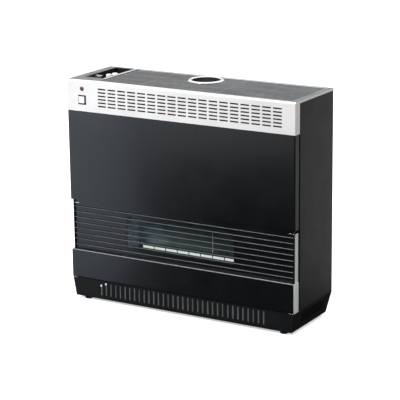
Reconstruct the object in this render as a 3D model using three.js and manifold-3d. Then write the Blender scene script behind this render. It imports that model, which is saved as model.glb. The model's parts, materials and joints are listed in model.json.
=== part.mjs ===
// A gas room heater with a flue collar on top, a convection fan and small feet.
// Millimetres, +Z up. Inside the unit's own group the front plane is y = 0, the wall is at
// y = caseDepth, the floor is z = 0 and the unit is centred on x = 0.

import * as THREE from 'three';
import { mergeGeometries, mergeVertices } from 'three/addons/utils/BufferGeometryUtils.js';
import Module from 'manifold-3d';

const wasm = await Module();
wasm.setup();

// ---------------------------------------------------------------- driving sizes

const fit = 0.3;                    // clearance between pieces that touch
const steel = 1.5;                  // casing sheet

const caseWidth = 700;
const caseDepth = 216;              // front plane to wall
const footHeight = 9;
const footRadius = 11;
const footFromSide = 41;
const footFromFront = 18;
const footChamfer = 1.5;

const plinthHeight = 58;
const plinthSetback = 1;            // plinth front behind the front plane
const plinthSideTaper = 10.3;
const plinthRearTaper = 16.6;
const plinthWall = 2;
const slotCount = 34;               // air slots along the plinth's front
const slotPitch = 15.5;
const slotWidth = 5.5;
const slotBottom = 11;              // above the plinth's underside
const slotTop = 47.5;
const shortSlot = 6;                // the leftmost slot is this much shorter
const sideSlotCount = 14;
const sideSlotPitch = 9.4;
const sideSlotFirst = 50;           // first side slot behind the front plane
const sideSlotWidth = 4;
const sideSlotBottom = 15;
const sideSlotTop = 45;

const lowerPanelHeight = 80;
const lowerPanelLap = 3.5;          // the lower panel hangs past the plinth's top edge
const lowerPanelKick = 3.5;         // its bottom edge stands this far in front
const lowerPanelBrow = 1;           // and its top edge this far
const panelRound = 3;

const windowBandHeight = 142.5;
const bandRecess = 10;              // window surround behind the front plane
const upperPanelHeight = 251.5;
const upperPanelSeam = 0.8;
const upperPanelReturn = 21;
const panelTabHeight = 20;
const fasciaHeight = 85;
const fasciaWall = 2.5;
const crownPlate = 6;               // thickness of the top frame
const crownRound = 6;
const sidePanelFront = 24.6;        // front edge of the side panels
const sideFlange = 16;
const trimWidth = 2;
const trimTopGap = 10;              // the upper trim stops this far below the upper panel
const trimInset = 3.5;              // upper trim's outer face inside the case's side
const cheekSheet = 1.5;             // trim's cheek beside the lower panel
const cheekProud = 1.5;             // cheek's front edge ahead of the front plane
const cheekRound = 2;

const ventColumns = 18;
const ventRows = 6;
const ventLength = 25;
const ventHeight = 3.8;
const ventFromLeft = 101.5;         // first and last vents from the case's sides
const ventFromRight = 39;
const ventRowPitch = 9.4;
const ventTop = 17.6;               // top row's centre below the top

const switchFromSide = 49.7;
const switchWidth = 25.5;
const switchHeight = 26;
const switchBelowTop = 53.5;
const bezelRim = 1;
const bezelProud = 0.4;
const bezelDepth = 13;
const rockerClearance = 2.2;        // above and below the rocker
const rockerShade = 4.4;            // open room on the rocker's right
const rockerDepth = 9;
const rockerProud = 1;
const lampRadius = 6;
const lampBelowTop = 23;
const lampProud = 1.6;
const lampLength = 7;

const grilleFromWell = 15;
const grilleRightMargin = 13.5;
const grilleFrontMargin = 15;
const grilleRearMargin = 7;
const grillePlate = 2;
const grilleDrop = 1;               // grille top below the frame's top
const grilleLedge = 5;
const grilleRows = 15;
const grilleColumns = 5;
const grilleSlot = 7.2;
const grilleRib = 5;
const grilleGroove = 1;             // ribs this far below the bars

const wellFromSide = 28;
const wellWidth = 57;
const wellFront = 53;
const wellFromRear = 13;
const wellDepth = 24;
const wellFlange = 3;
const deflectorY = 48;
const deflectorRise = 45;
const dividerGap = 6;               // divider's centre line left of the grille
const dividerWidth = 8;
const dividerHeight = 1.5;
const dividerFront = 46;

const flueFromRear = 63;
const ringRadius = 49.25;
const ringRise = 4;
const spigotRadius = 39.1;
const spigotWall = 1.2;
const spigotRise = 2;
const spigotFlange = 46;
const restrictorDepth = 14;
const restrictorSkirt = 8;
const restrictorHole = 22;

const fireOffset = -4.5;            // fire centre from the case centre
const windowWidth = 334;
const windowHeight = 90;
const windowAboveBand = 23;         // window's bottom edge above the lower panel
const glassLap = 13;                // glass past the window's edge
const glassThickness = 4;
const gasketThickness = 3;
const gasketWidth = 8;
const rodCount = 8;
const rodPitch = 15.5;
const rodRadius = 1.3;
const rodFirst = 13.5;              // lowest rod above the lower panel
const rodDepth = 7.2;
const uprightWidth = 2.7;
const uprightDepth = 4;

const fireboxMargin = 15;           // firebox past the window on each side
const fireboxDepth = 64;
const fireboxHeight = 142;
const fireboxFlange = 8;
const fireboxDrop = 3.5;            // firebox bottom below the lower panel's top
const fireOutletWidth = 280;
const fireOutletDepth = 24;
const fireOutletLead = 14;          // its front edge ahead of the burner's centre line
const blockCount = 8;
const blockPitch = 37;
const blockGap = 1.6;
const blockOffset = 3;              // blocks' row right of the fire centre
const blockDepth = 13;
const blockHeight = 12;
const blockChamfer = 5;
const burnerMargin = 21;            // burner short of the firebox's sides
const burnerWidth = 20;
const burnerHeight = 18;
const burnerFromGlass = 41;         // burner centre line behind the firebox's front
const injectorRadius = 6;
const injectorReach = 25;           // injector past the firebox's side
const injectorHead = 12;
const probeFoot = 2.5;
const probeFootHeight = 5;
const sensorRadius = 1;
const sensorHeight = 86;
const sensorX = 62;
const electrodeX = 84;
const electrodeRadius = 2;
const electrodeHeight = 38;
const pilotX = 100;
const pilotRadius = 4.5;
const pilotNeck = 26;
const pilotHeight = 32;

const exchangerWidth = 300;
const exchangerFront = 45;
const exchangerFromRear = 16;
const headerHeight = 26;
const tubeHeight = 122;
const tubeCount = 6;
const tubeWidth = 26;
const tubeSideInset = 4;
const tubeFrontInset = 8;
const tubeRearInset = 20;
const hoodWidth = 124;
const hoodDepth = 106;
const hoodHeight = 98;
const hoodRim = 12;                 // hood's floor left round its opening
const hoodDepthOpening = 76;
const hoodAirLow = 12;
const hoodAirHigh = 40;

const railHeight = 14;
const railFront = 30;
const railDepth = 60;

const gasKnobFromWell = 23;         // behind the well's front edge
const gasKnobRadius = 12;
const gasKnobRise = 2;              // its top above the top frame
const gasKnobHeight = 15;
const gasGripHalf = 3.2;            // half the width of the knob's grip bar
const gasHubRadius = 6.5;
const collarHeight = 3;
const collarRadius = 8;
const knobTravel = 4;
const spindleRadius = 4;
const spindleReach = 12;            // spindle below the well's floor
const buttonFromWell = 70;
const buttonRadius = 8;
const buttonDrop = 3;
const buttonTravel = 4;
const buttonCap = 8;                // height of its wide part
const stemRadius = 5;
const stemReach = 5;                // its stem reaches this far below the well's floor
const igniterRadius = 9;
const igniterLength = 20;
const thermostatFromWell = 100;
const thermostatRadius = 10;
const thermostatDrop = 5;
const thermostatHeight = 13;
const thermostatDish = 5;           // dished centre inside the knob's edge
const thermostatDishDepth = 2;
const thermostatSpindle = 3;
const thermostatReach = 8;          // its spindle below the well's floor
const valveWidth = 49;
const valveFront = 56;
const valveToDrop = 14;             // valve's rear face ahead of the inlet pipe's drop
const valveManifold = 20;
const valveDrop = 44;               // valve's underside below the well's floor
const lobeHalf = 17;

const feedRadius = 4;
const feedFromControl = 10.5;
const inletRadius = 6;
const inletFromRear = 34;
const serviceHeight = 96;           // gas union and mains entry above the floor
const pipeBend = 11;
const unionFlange = 22;
const unionStub = 9;
const unionBore = 5;
const stubFlange = 1.5;
const stubNutFront = 14;
const stubNutRear = 5;
const stubReach = 16;               // stub inside the case
const mainsFromSide = 60;
const mainsFlange = 15;
const mainsStub = 8;
const mainsBore = 4;

const rotorRadius = 18;
const rotorLength = 200;
const rotorLeft = -120;
const rotorY = 140;
const rotorHeight = 42;
const rotorBlades = 12;
const bladeDepth = 5;
const discThickness = 1.5;
const rotorShaft = 3;
const scrollGap = 5;
const scrollStart = 1.12;           // scroll's first and last angles, in half turns
const scrollEnd = 2;
const scrollSteps = 10;
const cheekThickness = 1.5;
const cheekGap = 3;                 // housing cheek from the rotor's end
const motorRadius = 19;
const motorLength = 55;
const motorGap = 5;                 // motor from the rotor's end
const motorFootInset = 12;
const shaftReach = 19;              // shaft inside the motor
const terminalFromSide = 140;
const terminalY = 150;
const terminalDepth = 22;
const terminalWays = 3;
const terminalPitch = 14;
const terminalWell = 4;

const bracketPlate = 2;
const backPanelInset = bracketPlate + fit;    // back panel's rear face ahead of the wall plane
const bracketWidth = 340;
const bracketHeight = 42;
const bracketBelowTop = 60;
const bracketHook = 8;              // height of its turned-up tabs
const bracketHookHalf = 10;
const hookRoom = 4;                 // slot past the tab, to lift the heater on
const bracketHookInset = 40;
const bracketScrewInset = 15;
const bracketScrewHole = 3;

// ---------------------------------------------------------------- derived levels

const side = caseWidth / 2;
const ventPitch = (caseWidth - ventFromLeft - ventFromRight - ventLength) / (ventColumns - 1);
const switchX = switchFromSide - side;
const rockerX = switchX - (rockerShade - fit) / 2;
const wellLeft = wellFromSide - side;
const wellRight = wellLeft + wellWidth;
const wellRear = caseDepth - wellFromRear;
const controlX = (wellLeft + wellRight) / 2;
const gasKnobY = wellFront + gasKnobFromWell;
const buttonY = wellFront + buttonFromWell;
const thermostatY = wellFront + thermostatFromWell;
const inletDropY = caseDepth - inletFromRear;
const valveRear = inletDropY - valveToDrop;
const feedX = controlX - feedFromControl;
const mainsX = side - mainsFromSide;
const terminalX = side - terminalFromSide;
const bracketScrewX = bracketWidth / 2 - bracketScrewInset;
const bracketHookX = bracketWidth / 2 - bracketHookInset;
const flueY = caseDepth - flueFromRear;
const exchangerRear = caseDepth - exchangerFromRear;
const fireboxWidth = windowWidth + 2 * fireboxMargin;
const burnerLength = fireboxWidth - 2 * burnerMargin;
const grilleLeft = wellRight + grilleFromWell;
const zPlinthTop = footHeight + plinthHeight;
const zLowerBottom = zPlinthTop - lowerPanelLap;
const zLowerTop = zLowerBottom + lowerPanelHeight;
const zBandTop = zLowerTop + windowBandHeight;
const zFasciaBottom = zBandTop + upperPanelHeight;
const zTop = zFasciaBottom + fasciaHeight;
const zFrameUnder = zTop - crownPlate;
const grilleRight = side - grilleRightMargin;
const grilleRear = caseDepth - grilleRearMargin;
const yGlass = bandRecess + steel + fit;
const yGasket = yGlass + glassThickness + fit;
const yFirebox = yGasket + gasketThickness + fit;
const zFirebox = zLowerTop - fireboxDrop;
const zFireboxTop = zFirebox + fireboxHeight;
const zWindow = zLowerTop + windowAboveBand;
const yBurner = yFirebox + burnerFromGlass;
const zBurner = zFirebox + steel + fit;
const zBurnerMid = zBurner + burnerHeight / 2;
const zBlocks = zBurner + burnerHeight + fit;
const xBurner = fireOffset - burnerLength / 2;
const xInjector = fireOffset - fireboxWidth / 2 - injectorReach;
const yBehindBlocks = yBurner + burnerWidth / 2 + fit;
const zProbe = zFirebox + steel + fit;
const zWellFloor = zTop - wellDepth;
const zHood = zFireboxTop + 2 * headerHeight + tubeHeight + 2 * fit;
const zHoodTop = zHood + hoodHeight;
const yBackPanel = caseDepth - backPanelInset;
const zBracket = zTop - bracketBelowTop - bracketHeight;
const zKnob = zTop + gasKnobRise - gasKnobHeight;
const panFloor = footHeight + plinthWall + fit;
const footRear = caseDepth - plinthRearTaper - footFromFront;

// ---------------------------------------------------------------- shape helpers

function flipped(geometry) {
  const index = geometry.index.array;
  for (let i = 0; i < index.length; i += 3) {
    [index[i], index[i + 1]] = [index[i + 1], index[i]];
  }
  return geometry;
}

// Shared corners merged, slivers dropped and all faces turned out.
function closed(geometry) {
  const plain = geometry.clone();
  plain.deleteAttribute('normal');
  plain.deleteAttribute('uv');
  const merged = mergeVertices(plain, 1e-4);
  const kept = [];
  const index = merged.index.array;
  for (let i = 0; i < index.length; i += 3) {
    const [a, b, c] = [index[i], index[i + 1], index[i + 2]];
    if (a !== b && b !== c && c !== a) kept.push(a, b, c);
  }
  merged.setIndex(kept);
  const corner = [0, 1, 2].map(() => new THREE.Vector3());
  let volume = 0;
  for (let i = 0; i < kept.length; i += 3) {
    corner.forEach((v, k) => v.fromBufferAttribute(merged.attributes.position, kept[i + k]));
    volume += corner[0].dot(corner[1].clone().cross(corner[2]));
  }
  return volume < 0 ? flipped(merged) : merged;
}

function toSolid(geometry) {
  const tidy = closed(geometry);
  return new wasm.Manifold(new wasm.Mesh({
    numProp: 3,
    vertProperties: new Float32Array(tidy.attributes.position.array),
    triVerts: new Uint32Array(tidy.index.array),
  }));
}

function toGeometry(solid) {
  const mesh = solid.getMesh();
  const geometry = new THREE.BufferGeometry();
  geometry.setAttribute('position', new THREE.BufferAttribute(mesh.vertProperties, 3));
  geometry.setIndex(new THREE.BufferAttribute(mesh.triVerts, 1));
  return geometry;
}

function join(first, ...others) {
  return toGeometry(others.reduce((solid, other) => solid.add(toSolid(other)), toSolid(first)));
}

function cut(first, ...tools) {
  return toGeometry(tools.reduce((solid, tool) => solid.subtract(toSolid(tool)), toSolid(first)));
}

function common(first, second) {
  return toGeometry(toSolid(first).intersect(toSolid(second)));
}

function block(x0, x1, y0, y1, z0, z1) {
  const box = new THREE.BoxGeometry(x1 - x0, y1 - y0, z1 - z0);
  return box.translate((x0 + x1) / 2, (y0 + y1) / 2, (z0 + z1) / 2);
}

// A block whose bottom rectangle differs from its top one; each is [x0, x1, y0, y1].
function taperedBlock(bottom, top, z0, z1) {
  const box = new THREE.BoxGeometry(1, 1, 1);
  const place = box.attributes.position;
  for (let i = 0; i < place.count; i += 1) {
    const edge = place.getZ(i) < 0 ? bottom : top;
    const x = place.getX(i) < 0 ? edge[0] : edge[1];
    const y = place.getY(i) < 0 ? edge[2] : edge[3];
    place.setXYZ(i, x, y, place.getZ(i) < 0 ? z0 : z1);
  }
  return box;
}

function rod(radius, length, sides = 24) {
  return new THREE.CylinderGeometry(radius, radius, length, sides).translate(0, length / 2, 0);
}

// Rods that start at a point and run along one axis.
const rodX = (radius, x0, x1, y, z, sides) =>
  rod(radius, x1 - x0, sides).rotateZ(-Math.PI / 2).translate(x0, y, z);
const rodY = (radius, x, y0, y1, z, sides) =>
  rod(radius, y1 - y0, sides).translate(x, y0, z);
const rodZ = (radius, x, y, z0, z1, sides) =>
  rod(radius, z1 - z0, sides).rotateX(Math.PI / 2).translate(x, y, z0);

// A turned piece about the z axis from [radius, height] points; a ring's profile closes on itself.
function turned(points, segments = 36) {
  const profile = points.map(([r, z]) => new THREE.Vector2(r, z));
  if (points[0][0] > 0) profile.push(profile[0].clone());
  return new THREE.LatheGeometry(profile, segments).rotateX(Math.PI / 2);
}

function prism(points, length) {
  const shape = new THREE.Shape(points.map(([a, b]) => new THREE.Vector2(a, b)));
  return new THREE.ExtrudeGeometry(shape, { depth: length, bevelEnabled: false });
}

const alongZ = (points, z0, z1) => prism(points, z1 - z0).translate(0, 0, z0);

// Outline points are [y, z].
function alongX(points, x0, x1) {
  const turn = new THREE.Matrix4().makeBasis(
    new THREE.Vector3(0, 1, 0), new THREE.Vector3(0, 0, 1), new THREE.Vector3(1, 0, 0));
  return prism(points, x1 - x0).applyMatrix4(turn).translate(x0, 0, 0);
}

// Rounds the inner corners of an open path; reach is how far each round goes along its sides.
function rounded(path, reach, steps = 4) {
  const points = [path[0]];
  for (let i = 1; i < path.length - 1; i += 1) {
    const here = new THREE.Vector2(...path[i]);
    const before = new THREE.Vector2(...path[i - 1]).sub(here).setLength(reach).add(here);
    const after = new THREE.Vector2(...path[i + 1]).sub(here).setLength(reach).add(here);
    const bend = new THREE.QuadraticBezierCurve(before, here, after);
    points.push(...bend.getPoints(steps).map((p) => [p.x, p.y]));
  }
  points.push(path[path.length - 1]);
  return points;
}

// The closed outline of a bent sheet: its outer face, and the same path a thickness to the left.
function sheetOutline(path, thickness) {
  const points = path.map(([a, b]) => new THREE.Vector2(a, b));
  const leftOf = (from, to) => {
    const along = to.clone().sub(from).normalize();
    return new THREE.Vector2(-along.y, along.x);
  };
  const inner = points.map((p, i) => {
    const before = i > 0 ? leftOf(points[i - 1], p) : leftOf(p, points[i + 1]);
    const after = i < points.length - 1 ? leftOf(p, points[i + 1]) : before;
    const mitre = before.clone().add(after).divideScalar(1 + before.dot(after));
    return p.clone().addScaledVector(mitre, thickness);
  });
  return [...points, ...inner.reverse()].map((p) => [p.x, p.y]);
}

function mirroredX(geometry) {
  return geometry.clone().scale(-1, 1, 1);
}

// A round bar along straight runs with a curved bend at each corner.
function pipe(radius, corners, sides = 10, steps = 26) {
  const route = new THREE.CurvePath();
  const points = corners.map((c) => new THREE.Vector3(...c));
  let start = points[0];
  for (let i = 1; i < points.length - 1; i += 1) {
    const toBend = points[i - 1].clone().sub(points[i]).setLength(pipeBend).add(points[i]);
    const fromBend = points[i + 1].clone().sub(points[i]).setLength(pipeBend).add(points[i]);
    route.add(new THREE.LineCurve3(start, toBend));
    route.add(new THREE.QuadraticBezierCurve3(toBend, points[i], fromBend));
    start = fromBend;
  }
  route.add(new THREE.LineCurve3(start, points[points.length - 1]));
  const section = new THREE.Shape();
  for (let i = 0; i < sides; i += 1) {
    const angle = (2 * Math.PI * i) / sides;
    const [a, b] = [radius * Math.cos(angle), radius * Math.sin(angle)];
    if (i === 0) section.moveTo(a, b); else section.lineTo(a, b);
  }
  return new THREE.ExtrudeGeometry(section, { steps, extrudePath: route, bevelEnabled: false });
}

// An open-ended duct's wall: the outer block less the inner one.
function shell(x0, x1, y0, y1, z0, z1, wall, open = {}) {
  const reach = (isOpen) => (isOpen ? -1 : wall);
  return cut(block(x0, x1, y0, y1, z0, z1), block(
    x0 + reach(open.left), x1 - reach(open.right), y0 + reach(open.front), y1 - reach(open.rear),
    z0 + reach(open.bottom), z1 - reach(open.top)));
}

// ---------------------------------------------------------------- finishes

const finish = (color, roughness, metalness = 0) =>
  new THREE.MeshStandardMaterial({ color, roughness, metalness });
const silverPaint = finish(0xdcdcda, 0.45, 0.4);
const blackEnamel = finish(0x2b2e33, 0.25);
const greyPaint = finish(0x3a3d41, 0.55);
const grilleGrey = finish(0x6c7176, 0.5, 0.3);
const chrome = finish(0xe6e8e8, 0.15, 0.95);
const blackPlastic = finish(0x141414, 0.6);
const whitePlastic = finish(0xe8e8e4, 0.45);
const redLens = finish(0x8a3a3a, 0.25);
const rodSteel = finish(0x9a9ea4, 0.3, 0.9);
const clearGlass = finish(0x2a3a3a, 0.05);
const ceramic = finish(0xe6eae6, 0.85);
const rope = finish(0x8a8a80, 0.95);
const bareSteel = finish(0x8c8f92, 0.45, 0.8);
const brass = finish(0xb08d45, 0.35, 0.9);
const rubber = finish(0x101010, 0.9);

// ---------------------------------------------------------------- casing

function basePan() {
  const low = zPlinthTop - fit;
  const outer = taperedBlock(
    [plinthSideTaper - side, side - plinthSideTaper, plinthSetback, caseDepth - plinthRearTaper],
    [-side, side, plinthSetback, caseDepth], footHeight, low);
  const inner = taperedBlock(
    [plinthSideTaper - side + plinthWall, side - plinthSideTaper - plinthWall,
      plinthSetback + plinthWall, caseDepth - plinthRearTaper - plinthWall],
    [plinthWall - side, side - plinthWall, plinthSetback + plinthWall, caseDepth - plinthWall],
    footHeight + plinthWall, low + 1);
  return cut(outer, inner, mergeGeometries([...frontSlots(), ...sideSlots(), ...trimNotches()]));
}

// The side trims reach down past the plinth's front corners.
function trimNotches() {
  const inner = side - trimInset - trimWidth - fit;
  const notch = block(inner, side + 1, plinthSetback - 1, sidePanelFront,
    zLowerBottom - fit, zPlinthTop + 1);
  return [notch, flipped(mirroredX(notch))];
}

function frontSlots() {
  return Array.from({ length: slotCount }, (_, i) => {
    const x = (i - (slotCount - 1) / 2) * slotPitch;
    const top = footHeight + slotTop - (i === 0 ? shortSlot : 0);
    return block(x - slotWidth / 2, x + slotWidth / 2, plinthSetback - 1,
      plinthSetback + plinthWall + 1, footHeight + slotBottom, top);
  });
}

function sideSlots() {
  const slots = [];
  for (let i = 0; i < sideSlotCount; i += 1) {
    const y = sideSlotFirst + i * sideSlotPitch;
    const slot = block(side - plinthSideTaper - plinthWall - 1, side + 1, y - sideSlotWidth / 2,
      y + sideSlotWidth / 2, footHeight + sideSlotBottom, footHeight + sideSlotTop);
    slots.push(slot, block(-side - 1, plinthSideTaper + plinthWall + 1 - side,
      y - sideSlotWidth / 2, y + sideSlotWidth / 2,
      footHeight + sideSlotBottom, footHeight + sideSlotTop));
  }
  return slots;
}

function foot() {
  const [grip, top] = [footRadius - footChamfer, footHeight - fit];
  return turned([[0, 0], [grip, 0], [footRadius, footChamfer], [footRadius, top], [0, top]], 20);
}

// The lower panel's outer face, from the back of its ledge round to the back of its bottom lip.
const lowerPanelPath = rounded([
  [bandRecess - 1 - fit, zLowerTop], [-lowerPanelBrow, zLowerTop],
  [-lowerPanelKick, zLowerBottom], [plinthSetback - fit, zLowerBottom]], panelRound);

function lowerFrontPanel() {
  const end = side - trimInset - fit;
  return alongX(sheetOutline(lowerPanelPath, steel), -end, end);
}

function upperFrontPanel() {
  const [half, top] = [side - 1, zFasciaBottom - upperPanelSeam];
  const face = rounded([[-half, upperPanelReturn], [-half, 0], [half, 0],
    [half, upperPanelReturn]], panelRound);
  const pan = cut(alongZ(face, zBandTop, top), block(steel - half, half - steel, steel,
    upperPanelReturn + 1, zBandTop + steel, top - steel));
  const tabs = [];
  for (const x of [-1, 1]) {
    for (const share of [0.2, 0.8]) {
      const z = zBandTop + share * (upperPanelHeight - panelTabHeight);
      const [x0, x1] = [x * (half - 4), x * (half - steel / 2)].sort((a, b) => a - b);
      tabs.push(block(x0, x1, steel, sidePanelFront - fit, z, z + panelTabHeight));
    }
  }
  return join(pan, ...tabs);
}

function windowSurround() {
  const half = side - trimInset - trimWidth - fit;
  return cut(
    block(-half, half, bandRecess, bandRecess + steel, zLowerTop + fit, zBandTop - fit),
    block(fireOffset - windowWidth / 2, fireOffset + windowWidth / 2, bandRecess - 1,
      bandRecess + steel + 1, zWindow, zWindow + windowHeight));
}

function rodGuard() {
  const end = side - trimInset - trimWidth - fit;
  const uprights = [-end, end - uprightWidth].map((x) => block(x, x + uprightWidth,
    rodDepth - uprightDepth / 2, rodDepth + uprightDepth / 2, zLowerTop + fit, zBandTop - fit));
  const rods = Array.from({ length: rodCount }, (_, i) => rodX(rodRadius, 1 - end, end - 1,
    rodDepth, zLowerTop + rodFirst + i * rodPitch, 8));
  return join(...uprights, ...rods);
}

function rightSideTrim() {
  const outer = side - trimInset;
  const rear = sidePanelFront - fit;
  const post = block(outer - trimWidth, outer, bandRecess - 1, rear,
    zLowerBottom, zBandTop - trimTopGap);
  const edge = rounded([[rear, zLowerBottom], [-cheekProud, zLowerBottom],
    [-cheekProud, zLowerTop], [rear, zLowerTop]], cheekRound);
  const web = block(outer - trimWidth, outer + cheekSheet, bandRecess - 1, rear,
    zLowerBottom, zLowerTop);
  return join(post, web, alongX(edge, outer, outer + cheekSheet));
}

function rightSidePanel() {
  const path = rounded([[side - sideFlange, sidePanelFront], [side, sidePanelFront],
    [side, caseDepth], [side - sideFlange, caseDepth]], panelRound);
  return alongZ(sheetOutline(path, steel), zPlinthTop, zFrameUnder - fit);
}

function backPanel() {
  const half = side - steel - fit;
  const [front, rear] = [yBackPanel - steel, yBackPanel];
  const [reach, edge] = [bracketHookHalf + hookRoom, zBracket + bracketPlate + fit];
  const holes = [-1, 1].map((s) => block(s * bracketHookX - reach, s * bracketHookX + reach,
    front - 1, rear + 1, edge - bracketHook - hookRoom, edge));
  return cut(block(-half, half, front, rear, zPlinthTop + fit, zFrameUnder - fit), ...holes,
    rodY(unionStub + 1, controlX, front - 1, rear + 1, serviceHeight),
    rodY(mainsStub + 1, mainsX, front - 1, rear + 1, serviceHeight));
}

// The back panel's slots hang on two turned-up tabs.
function wallBracket() {
  const plate = block(-bracketWidth / 2, bracketWidth / 2, caseDepth - bracketPlate, caseDepth,
    zBracket, zBracket + bracketHeight);
  const tabRear = yBackPanel - steel - fit;
  const tabFront = tabRear - bracketPlate;
  const hooks = [-1, 1].flatMap((s) => {
    const [x0, x1] = [s * bracketHookX - bracketHookHalf, s * bracketHookX + bracketHookHalf];
    return [block(x0, x1, tabFront, caseDepth - 1, zBracket, zBracket + bracketPlate),
      block(x0, x1, tabFront, tabRear, zBracket, zBracket + bracketHook)];
  });
  const holes = [-1, 1].flatMap((s) => [0.25, 0.75].map((share) => rodY(bracketScrewHole,
    s * bracketScrewX, caseDepth - 3, caseDepth + 1, zBracket + share * bracketHeight, 16)));
  return cut(join(plate, ...hooks), ...holes);
}

// ---------------------------------------------------------------- crown and top

function crownMoulding() {
  const plan = rounded([[-side, caseDepth], [-side, 0], [side, 0], [side, caseDepth]],
    panelRound);
  const crest = rounded([[caseDepth, zTop], [0, zTop], [0, zTop - crownRound * 3]], crownRound);
  const profile = [...crest, [0, zFasciaBottom], [caseDepth, zFasciaBottom]];
  const brick = common(alongZ(plan, zFasciaBottom, zTop), alongX(profile, -side, side));
  const [low, ledge] = [zFasciaBottom - 1, zTop - grilleDrop - grillePlate - fit];
  const seat = (x0, x1, y0, y1, lip, level) => [block(x0, x1, y0, y1, level, zTop + 1),
    block(x0 + lip, x1 - lip, y0 + lip, y1 - lip, low, zTop)];
  const switchZ = zTop - switchBelowTop;
  return cut(brick,
    block(fasciaWall - side, side - fasciaWall, fasciaWall, caseDepth + 1, low, zFrameUnder),
    block(-side - 1, side + 1, sidePanelFront - fit, caseDepth + 1, low, zFrameUnder),
    ...seat(grilleLeft, grilleRight, grilleFrontMargin, grilleRear, grilleLedge, ledge),
    ...seat(wellLeft - wellFlange, wellRight + wellFlange, wellFront - wellFlange,
      wellRear + wellFlange, wellFlange - fit, zTop - steel - fit),
    block(switchX - switchWidth / 2, switchX + switchWidth / 2, -1, fasciaWall + 1,
      switchZ - switchHeight / 2, switchZ + switchHeight / 2),
    rodY(lampRadius + fit, switchX, -1, fasciaWall + 1, zTop - lampBelowTop),
    mergeGeometries(ventSlots()));
}

function ventSlots() {
  const slots = [];
  for (let row = 0; row < ventRows; row += 1) {
    const z = zTop - ventTop - ventHeight / 2 - row * ventRowPitch;
    for (let column = 0; column < ventColumns; column += 1) {
      const x = ventFromLeft - side + column * ventPitch;
      slots.push(block(x, x + ventLength, -1, fasciaWall + 1,
        z - ventHeight / 2, z + ventHeight / 2));
    }
  }
  return slots;
}

function topGrille() {
  const [x0, x1] = [grilleLeft + fit, grilleRight - fit];
  const [y0, y1] = [grilleFrontMargin + fit, grilleRear - fit];
  const [low, high] = [zTop - grilleDrop - grillePlate, zTop - grilleDrop];
  const rim = grilleLedge + 1;
  const rowPitch = (y1 - y0 - 2 * rim) / grilleRows;
  const columnPitch = (x1 - x0 - 2 * rim + grilleRib) / grilleColumns;
  const grooves = [];
  const slots = [];
  for (let row = 0; row < grilleRows; row += 1) {
    const y = y0 + rim + (row + 0.5) * rowPitch;
    grooves.push(block(x0 + rim, x1 - rim, y - grilleSlot / 2, y + grilleSlot / 2,
      high - grilleGroove, high + 1));
    for (let column = 0; column < grilleColumns; column += 1) {
      const x = x0 + rim + column * columnPitch;
      slots.push(block(x, x + columnPitch - grilleRib, y - grilleSlot / 2, y + grilleSlot / 2,
        low - 1, high - grilleGroove / 2));
    }
  }
  const collar = rodZ(ringRadius + 3, 0, flueY, low - 2, high + 2);
  return cut(block(x0, x1, y0, y1, low, high), cut(mergeGeometries(slots), collar),
    cut(mergeGeometries(grooves), collar),
    rodZ(spigotRadius + 1, 0, flueY, low - 1, high + 1, 36));
}

function airDeflector() {
  const path = [[sidePanelFront + 4, zFasciaBottom + 4],
    [deflectorY, zFasciaBottom + deflectorRise],
    [deflectorY, zTop - grilleDrop - grillePlate - fit]];
  return alongX(sheetOutline(path, steel), grilleLeft + grilleLedge + 1,
    grilleRight - grilleLedge - 1);
}

function controlWell() {
  const flange = block(wellLeft - wellFlange + fit, wellRight + wellFlange - fit,
    wellFront - wellFlange + fit, wellRear + wellFlange - fit, zTop - steel, zTop);
  const tray = block(wellLeft, wellRight, wellFront, wellRear, zWellFloor, zTop);
  return cut(join(flange, tray),
    block(wellLeft + steel, wellRight - steel, wellFront + steel, wellRear - steel,
      zWellFloor + steel, zTop + 1),
    rodZ(spindleRadius + 1, controlX, gasKnobY, zWellFloor - 1, zTop),
    rodZ(stemRadius + 1, controlX, buttonY, zWellFloor - 1, zTop),
    rodZ(thermostatSpindle + 1, controlX, thermostatY, zWellFloor - 1, zTop));
}

const dividerTrim = () => block(grilleLeft - dividerGap - dividerWidth / 2,
  grilleLeft - dividerGap + dividerWidth / 2, dividerFront, grilleRear,
  zTop + fit, zTop + dividerHeight);

function flueRing() {
  const [bore, lip] = [spigotRadius + fit, ringRise + grilleDrop];
  return turned([[bore, fit], [ringRadius, fit], [ringRadius, 0.45 * lip],
    [ringRadius - 2, 0.85 * lip], [(bore + ringRadius) / 2, lip], [bore + 1.5, 0.85 * lip],
    [bore, 0.5 * lip]], 36);
}

function flueSpigot() {
  const [bore, top] = [spigotRadius - spigotWall, zTop + spigotRise - zHoodTop - fit];
  return turned([[bore, 0], [spigotFlange, 0], [spigotFlange, spigotWall],
    [spigotRadius, spigotWall], [spigotRadius, top], [bore, top]], 30);
}

function flueRestrictor() {
  const outer = spigotRadius - spigotWall - fit;
  return turned([[restrictorHole, 0], [outer, 0], [outer, restrictorSkirt],
    [outer - steel, restrictorSkirt], [outer - steel, steel], [restrictorHole, steel]], 30);
}

// ---------------------------------------------------------------- controls

function gasKnob() {
  const skirt = gasKnobHeight * 0.35;
  const body = turned([[0, 0], [gasKnobRadius, 0], [gasKnobRadius, skirt],
    [gasKnobRadius - 1.5, skirt + 1], [0, skirt + 1]], 28);
  const grip = block(-gasKnobRadius * 0.85, gasKnobRadius * 0.85, -gasGripHalf, gasGripHalf,
    skirt, gasKnobHeight);
  const hub = rodZ(gasHubRadius, 0, 0, skirt, gasKnobHeight - 2, 20);
  return cut(join(body, grip, hub), rodZ(spindleRadius + fit, 0, 0, -1, skirt, 20));
}

function gasSpindle() {
  const top = gasKnobHeight * 0.35 - 1;
  return rodZ(spindleRadius, 0, 0, -(wellDepth + gasKnobRise - gasKnobHeight) - spindleReach,
    top, 16);
}

const knobCollar = () => turned([[spindleRadius + fit, 0], [collarRadius, 0],
  [collarRadius, collarHeight], [spindleRadius + fit, collarHeight]], 24);

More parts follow.
